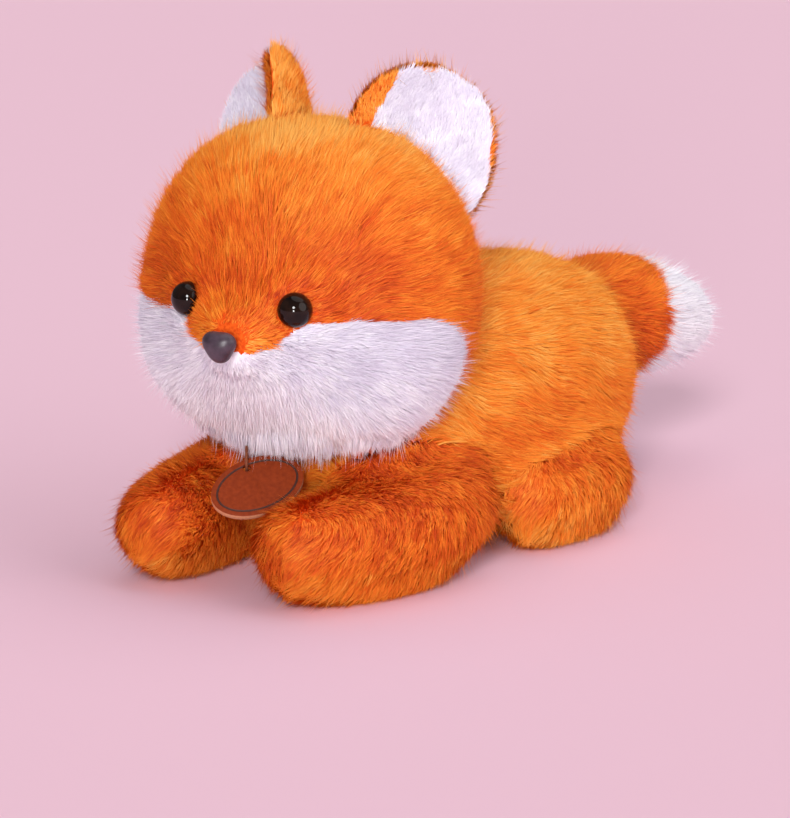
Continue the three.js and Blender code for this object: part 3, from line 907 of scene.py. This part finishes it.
def at_chin_edge(points, normals, edge):
    local = in_head(points)
    edge = edge + chin_waver * waves(points, chin_wave, seed=4)
    return (local[:, 2] < edge) & ~under_chin(normals) & (local[:, 1] < chin_back)


def face_comb(points, _):
    """Away from the top of the nose, and more downwards on the jaw."""
    local = in_head(points)
    away = unit(local - nose_top)
    away[:, 2] -= 0.9 * rise(-local[:, 2], comb_down_below, comb_down_over)
    return from_head(away)


def one_way(x, y, z):
    """A comb that runs one way all over."""
    return lambda points, _: np.tile([x, y, z], (len(points), 1))


def level_outwards(points, _):
    return 0.6 * unit((points - np.array(head_centre)) * (1, 1, 0))


def crown_shape(points, _):
    """Short round the nose, lighter on the bridge, with painted light on top and at the temples and painted
    shade at the brow.
    """
    painted_top_light, painted_brow_shade, bridge_lighter, painted_temple_light, mottling = 0.75, 0.12, 0.3, 0.2, 0.06
    at_nose, least = 0.45, 0.5
    local = in_head(points)
    from_nose = np.linalg.norm(local - nose_top, axis=1)
    top = rise(local[:, 2], top_start, top_length) ** 2.2
    shaded_brow = bell((local[:, 2] - brow_height) / brow_depth, local[:, 0] / brow_width) * (local[:, 1] < 0)
    bridge = bell(from_nose / bridge_reach)
    lit_temple = rise(np.abs(local[:, 0]), temple_start, temple_width)
    # Painted light on top and at the temples, painted shade at the brow; the bridge's lighter tone is its
    # fur's own
    tint = painted_top_light * top - painted_brow_shade * shaded_brow + bridge_lighter * bridge + painted_temple_light * lit_temple
    share = np.clip(at_nose + from_nose / crown_full_over, least, 1)
    return share, tint + mottling * waves(points, crown_wave, seed=5)


def cheek_shape(points, _):
    """Short round the nose, lighter on the muzzle, with painted light on the jaw, and darker on the left
    cheek.
    """
    painted_jaw_light, muzzle_lighter, left_darker, all_darker, mottling = 0.7, 0.24, 0.15, 0.04, 0.05
    at_nose, least = 0.4, 0.45
    local = in_head(points)
    from_nose = np.linalg.norm(local - muzzle_middle, axis=1)
    lit_jaw = rise(-local[:, 2], jaw_start, jaw_length)
    muzzle = bell(from_nose / muzzle_reach)
    left = rise(local[:, 0], 0, left_cheek_width)
    # Painted light: the jaw lighter towards the bottom of the head
    tint = painted_jaw_light * lit_jaw + muzzle_lighter * muzzle - left_darker * left - all_darker
    share = np.clip(at_nose + from_nose / cheek_full_over, least, 1)
    return share, tint + mottling * waves(points, cheek_wave, seed=6)


def fringe_shape(points, _):
    """Longest under the muzzle."""
    middle = bell((in_head(points)[:, 0] + fringe_right) / fringe_width)
    return 1 + fringe_longer * middle, np.zeros(len(points))


head = forms["head"]
skin_colours(head, on_cheeks)
grow(
    "crown_pile_front", head, lambda p, n: in_front(p) & ~on_cheeks(p, n), face_comb,
    shape=crown_shape, seed=11, **crown_look,
)
for side, sign in sides:
    grow(
        f"crown_pile_back_{side}", head,
        lambda p, n: ~in_front(p) & ~on_cheeks(p, n) & on_side(p, sign), face_comb,
        shape=crown_shape, seed=12 + sign, **crown_look,
    )
for side, sign in sides:
    grow(
        f"cheek_pile_{side}", head,
        lambda p, n: on_cheeks(p, n) & ~under_chin(n) & ~at_chin_edge(p, n, cheek_edge) & on_side(p, sign),
        face_comb, shape=cheek_shape, seed=20 + sign, **cheek_look,
    )
    grow(
        f"chin_fringe_{side}", head,
        lambda p, n: on_cheeks(p, n) & at_chin_edge(p, n, chin_edge) & on_side(p, sign),
        one_way(0.0, 0.0, -1.0), shape=fringe_shape, shading=level_outwards, seed=24 + sign, **fringe_look,
    )
    grow(
        f"chin_pile_{side}", head, lambda p, n: on_cheeks(p, n) & under_chin(n) & on_side(p, sign),
        face_comb, seed=27 + sign, **chin_look,
    )

# Pile of the body
body_look = dict(
    orange, density=4.4, length=8.5 * MM, lift=(48, 24), tone=0.55, clump=(0.3, 0.12), wander=0.34
)
body_wave = 35 * MM


def body_comb(points, normals):
    """Backwards, and down the sides."""
    way = one_way(0.0, 1.0, -0.15)(points, normals)
    way[:, 2] -= 0.5 * np.abs(normals[:, 0])
    return way


def body_shape(points, normals):
    """Painted light: lighter on the back, where it faces up."""
    painted_back_light, mottling = 0.28, 0.08
    # Painted light: the back lighter where its surface faces up
    tint = painted_back_light * np.clip(normals[:, 2], -0.2, 1) + mottling * waves(points, body_wave, seed=8)
    return np.ones(len(points)), tint


skin_colours(forms["body"])
for side, sign in sides:
    grow(
        f"body_pile_{side}", forms["body"], lambda p, n: p[:, 0] * sign > 0, body_comb,
        shape=body_shape, seed=30 + sign, **body_look,
    )

# Pile of the legs
leg_look = dict(orange, density=5.2, length=7.5 * MM, lift=(48, 28), clump=(0.28, 0.12))
leg_tones = {"front_leg": 0.38, "hind_leg": 0.55}
leg_seeds = {"front_leg": 49, "hind_leg": 48}
leg_heart_inwards, leg_heart_back, leg_heart_above = 8 * MM, 0.16, 30 * MM
leg_wave = 20 * MM


def grow_leg(limb, side, sign):
    """Pile that runs out from a place over the leg's middle, and back on what faces up."""
    form = forms[f"{limb}_{side}"]
    low, high = form.verts.min(0), form.verts.max(0)
    back = leg_heart_back * (high[1] - low[1])
    heart = (low + high) / 2 + np.array([-leg_heart_inwards * sign, back, leg_heart_above])

    def leg_comb(points, normals):
        upwards = np.clip(normals[:, 2:] * 1.6 - 0.4, 0, 1)
        forwards, backwards = np.array([0, -0.5, -0.2]), np.array([0, 0.9, 0])
        return unit(points - heart) + (1 - upwards) * forwards + upwards * backwards

    def leg_shape(points, normals):
        """Shorter on top, with painted light towards the floor and on the inner sides, and painted shade on
        top.
        """
        painted_sole_light, painted_inner_light, painted_top_shade, mottling = 0.4, 0.02, 0.06, 0.06
        sole = np.clip(-normals[:, 2] - 0.2, 0, 1)
        inner = np.clip(-sign * normals[:, 0], 0, 1)
        # Painted light towards the floor and on the inner sides, painted shade on top
        tint = painted_sole_light * sole + painted_inner_light * inner - painted_top_shade * normals[:, 2]
        share = 1 - 0.3 * np.clip(normals[:, 2], 0, 1)
        return share, tint + mottling * waves(points, leg_wave, seed=9)

    skin_colours(form)
    grow(
        f"{limb}_pile_{side}", form, all_of, leg_comb, shape=leg_shape,
        tone=leg_tones[limb], seed=leg_seeds[limb] + sign, **leg_look,
    )


for side, sign in sides:
    for limb in leg_tones:
        grow_leg(limb, side, sign)

# Pile of the tail
sleeve_look = dict(orange, density=4.8, length=9 * MM, lift=(44, 20), tone=0.28, clump=(0.3, 0.15))
tip_look = dict(white, density=5.5, length=9 * MM, lift=(46, 24), tone=0.92, clump=(0.3, 0.15))
tail_wave = 25 * MM
sleeve_tree, tip_tree = tree_of(["tail_sleeve"]), tree_of(["tail_tip"])


def on_tip(points, _):
    return nearest_distance(tip_tree, points) < nearest_distance(sleeve_tree, points)


def tail_shape(points, normals):
    """Painted light: lighter on top, where it faces up."""
    painted_top_light, mottling = 0.18, 0.05
    # Painted light: lighter where the surface faces up
    return np.ones(len(points)), painted_top_light * normals[:, 2] + mottling * waves(points, tail_wave, seed=10)


tail = forms["tail"]
tail_comb = one_way(0.0, 1.0, -0.2)
skin_colours(tail, on_tip)
grow(
    "tail_sleeve_pile", tail, lambda p, n: ~on_tip(p, n), tail_comb, shape=tail_shape, seed=51, **sleeve_look
)
grow("tail_tip_pile", tail, on_tip, tail_comb, seed=52, **tip_look)

# Pile of the ears
ear_back_look = dict(
    orange, density=7.5, length=4.4 * MM, lift=(50, 34), tone=0.62,
    guard=0.07, stray=2.1, clump=(0.25, 0.1), twist=0.6,
)
ear_lining_look = dict(
    white, density=9, length=3.8 * MM, lift=(38, 20), tone=0.5, guard=0.01, clump=(0.1, 0.05), twist=0.3
)


# The ear rim's lighter tone is painted light
back_to_light, lining_evenness, painted_rim_light = 0.3, 1.4, 0.35


def grow_ear(side, sign):
    """Orange pile on the back and round the rim, with painted light on the rim, and white pile on the
    lining, shaded evenly.
    """
    form, ear = forms[f"ear_{side}"], ears[side]

    def ear_comb(points, _):
        return 0.6 * unit(points - ear.root) + ear.along

    def ear_shape(points, normals):
        """Painted light: lighter on the rim, which faces neither forwards nor backwards."""
        return np.ones(len(points)), painted_rim_light * (1 - np.abs(normals @ ear.front))

    skin_colours(form, ear.on_lining)
    grow(
        f"ear_back_pile_{side}", form, lambda p, n: ~ear.on_lining(p, n), ear_comb,
        shape=ear_shape, shading=lambda p, n: back_to_light * lit_side, seed=60 + sign, **ear_back_look,
    )
    grow(
        f"ear_lining_pile_{side}", form, ear.on_lining, ear_comb,
        shading=lambda p, n: lining_evenness * unit(n.mean(0)[None]), seed=70 + sign, **ear_lining_look,
    )


for side, sign in sides:
    grow_ear(side, sign)


# Eyes and nose, and what fastens them and the tag, which keeps its CAD meshes
def finish_node(names, material):
    for name in names:
        nodes[name].data.materials.clear()
        nodes[name].data.materials.append(material)


def button_place(node):
    """Where a button sits: its middle on the pile's surface, its z axis out of the head."""
    verts = arrays_of(nodes[node])[0]
    outwards = unit((verts.mean(0) - np.array(head_centre))[None])[0]
    depth = verts @ outwards
    ring = np.unique(np.round(verts[depth < depth.min() + button_back], 7), axis=0)
    middle = ring.mean(0)
    axis = np.linalg.svd(ring - middle)[2][2]
    axis = Vector(axis * np.sign(axis @ outwards))
    left = Vector((math.cos(head_turn), math.sin(head_turn), 0))
    up = axis.cross(left).normalized()
    turn = Matrix((up.cross(axis), up, axis)).transposed().to_4x4()
    return Matrix.Translation(Vector(middle) + axis * stem_end) @ turn


def add_stem(top):
    """A stem from its inner end up to this height under or over the pile's surface."""
    deselect()
    bpy.ops.mesh.primitive_cylinder_add(
        vertices=24, radius=stem_radius, depth=stem_end + top, location=(0, 0, (top - stem_end) / 2)
    )
    return bpy.context.object


def finish_button(dome, stem, name, node, material):
    """Joins a dome to its stem, and puts the button in its CAD node's place."""
    select_only(dome)
    stem.select_set(True)
    bpy.ops.object.join()
    piece = bpy.context.object
    piece.name = name
    bpy.ops.object.shade_smooth_by_angle(angle=math.radians(40))
    piece.data.transform(button_place(node))
    piece.data.materials.append(material)
    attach(piece, "fox")
    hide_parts(node)


def make_eye(side):
    """A flattened dome, cut from a ball."""
    deselect()
    bpy.ops.mesh.primitive_uv_sphere_add(segments=64, ring_count=32, radius=eye_radius)
    dome = bpy.context.object
    bpy.ops.object.mode_set(mode="EDIT")
    bpy.ops.mesh.select_all(action="SELECT")
    bpy.ops.mesh.bisect(plane_co=(0, 0, 0), plane_no=(0, 0, 1), clear_inner=True, use_fill=True)
    bpy.ops.mesh.select_all(action="SELECT")
    bpy.ops.transform.resize(value=(1, 1, eye_dome_height / eye_radius), center_override=(0, 0, 0))
    bpy.ops.transform.translate(value=(0, 0, -eye_sunk))
    bpy.ops.object.mode_set(mode="OBJECT")
    stem = add_stem(-eye_sunk + stem_overlap)
    finish_button(dome, stem, f"eye_dome_{side}", f"eye_{side}", eye_plastic)


def make_nose():
    """A flattened ball with three round corners, one of them down."""
    deselect()
    bpy.ops.mesh.primitive_uv_sphere_add(segments=72, ring_count=36, radius=1)
    dome = bpy.context.object
    verts = arrays_of(dome)[0]
    turn = np.arctan2(verts[:, 1], verts[:, 0])
    corner = 1 + nose_corner_share * np.cos(3 * (turn + math.pi / 2)) * np.hypot(verts[:, 0], verts[:, 1])
    verts[:, 0] *= corner * nose_half_width
    verts[:, 1] = verts[:, 1] * corner * nose_half_height - nose_drop
    verts[:, 2] *= np.where(verts[:, 2] > 0, nose_dome_height, nose_sunk)
    move_verts(dome, verts)
    finish_button(dome, add_stem(0), "nose_dome", "nose", nose_plastic)


finish_node(["eye_washer_left", "eye_washer_right", "nose_washer"], washer_plastic)
finish_node(["tag_thread"], thread_fibre)
for side, _ in sides:
    make_eye(side)
make_nose()


# Neck tag: a leather oval with a hole, soft edges and a pressed line near its rim
def select_faces(piece, test):
    """Selects the faces that pass this test, and goes back to edit mode."""
    bpy.ops.object.mode_set(mode="OBJECT")
    for face in piece.data.polygons:
        face.select = test(face)
    bpy.ops.object.mode_set(mode="EDIT")


def press_line(tag):
    """Presses a line into both flat faces, and gives the rim and the line materials of their own."""
    for upper in (1, -1):
        select_faces(tag, lambda face: face.normal.z * upper > 0.9)
        bpy.ops.mesh.inset(thickness=tag_line_from_edge, depth=0)
        for depth in (-tag_line_depth, 0, tag_line_depth):
            bpy.ops.mesh.inset(thickness=tag_line_width, depth=depth)
    bpy.ops.object.mode_set(mode="OBJECT")
    for material in (tag_leather, tag_edge, tag_line):
        tag.data.materials.append(material)
    flat_height = tag_thickness / 2 - tag_line_depth / 4
    for face in tag.data.polygons:
        if abs(face.normal.z) < 0.2:
            face.material_index = 1
        elif abs(face.center.z) < flat_height:
            face.material_index = 2


def make_tag():
    deselect()
    bpy.ops.mesh.primitive_cylinder_add(vertices=72, radius=1, depth=tag_thickness, location=(0, 0, 0))
    tag = bpy.context.object
    tag.name = "neck_tag_leather"
    bpy.ops.object.mode_set(mode="EDIT")
    bpy.ops.mesh.select_all(action="SELECT")
    bpy.ops.transform.resize(value=(tag_half_width, tag_half_height, 1))
    bpy.ops.mesh.select_mode(type="FACE")
    press_line(tag)
    hole = (0, tag_half_height - tag_hole_from_edge, 0)
    bpy.ops.mesh.primitive_cylinder_add(
        vertices=32, radius=tag_hole_radius, depth=tag_punch_length, location=hole
    )
    punch = bpy.context.object
    apply_modifier(tag, "hole", "BOOLEAN", operation="DIFFERENCE", solver="EXACT", object=punch)
    bpy.data.objects.remove(punch)
    apply_modifier(tag, "soft_edge", "BEVEL", width=tag_soft_edge, segments=2, angle_limit=math.radians(50))
    select_only(tag)
    bpy.ops.object.shade_smooth_by_angle(angle=math.radians(35))
    place = (
        Matrix.Translation(hinge)
        @ Matrix.Rotation(tag_turn, 4, "Z")
        @ Matrix.Rotation(-tag_lean, 4, "X")
        @ Matrix.Rotation(-tag_roll, 4, "Y")
        @ Matrix.Translation((0, 0, tag_middle))
        @ Matrix.Rotation(math.pi / 2, 4, "X")
    )
    tag.data.transform(place)
    tag.data.update()
    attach(tag, "tag")
    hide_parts("neck_tag")


make_tag()

# Floor, world and lamps
floor_size = 30
world_strength = 0.34
world_less_in_gloss = 0.22


def make_floor():
    deselect()
    bpy.ops.mesh.primitive_plane_add(size=floor_size, location=(0, 0, 0))
    floor = bpy.context.object
    floor.name = "floor"
    material, _, shader = new_material("floor_paper", 0.9, Specular_IOR_Level=0.1)
    shader.inputs["Base Color"].default_value = from_srgb(233, 193, 209)
    floor.data.materials.append(material)


def make_world():
    """An even pale world, weaker where it is seen in gloss."""
    world = bpy.data.worlds.new("world")
    bpy.context.scene.world = world
    world.use_nodes = True
    tree = world.node_tree
    backdrop = tree.nodes["Background"]
    backdrop.inputs["Color"].default_value = from_srgb(252, 246, 250)
    ray = tree.nodes.new("ShaderNodeLightPath")
    dimmed = tree.nodes.new("ShaderNodeMath")
    dimmed.operation = "MULTIPLY_ADD"
    dimmed.inputs[1].default_value = -world_less_in_gloss
    dimmed.inputs[2].default_value = world_strength
    tree.links.new(ray.outputs["Is Glossy Ray"], dimmed.inputs[0])
    tree.links.new(dimmed.outputs["Value"], backdrop.inputs["Strength"])


def add_lamp(name, towards, strength, softness):
    """A sun in this direction from the fox. A softer one, in degrees, has paler edges to its shadows."""
    data = bpy.data.lights.new(name, "SUN")
    data.angle = math.radians(softness)
    data.energy = strength
    seat = add_object(name, data)
    seat.rotation_euler = Vector(towards).normalized().to_track_quat("Z", "Y").to_euler()


def light_fox():
    level = Vector((camera_back.x, camera_back.y, 0)).normalized()
    up = Vector((0, 0, 1))
    add_lamp("key", level - camera_right * 0.1 + up * 0.5, 2.0, 14)
    add_lamp("fill", level * 0.5 + camera_right * 0.85 + up * 0.45, 0.95, 50)
    add_lamp("low_fill", level - camera_right * 0.1 + up * 0.09, 1.15, 10)
    add_lamp("top", camera_right * 0.25 - level * 0.15 + up, 0.8, 60)


make_floor()
make_world()
light_fox()
bpy.context.scene.view_settings.view_transform = "Standard"
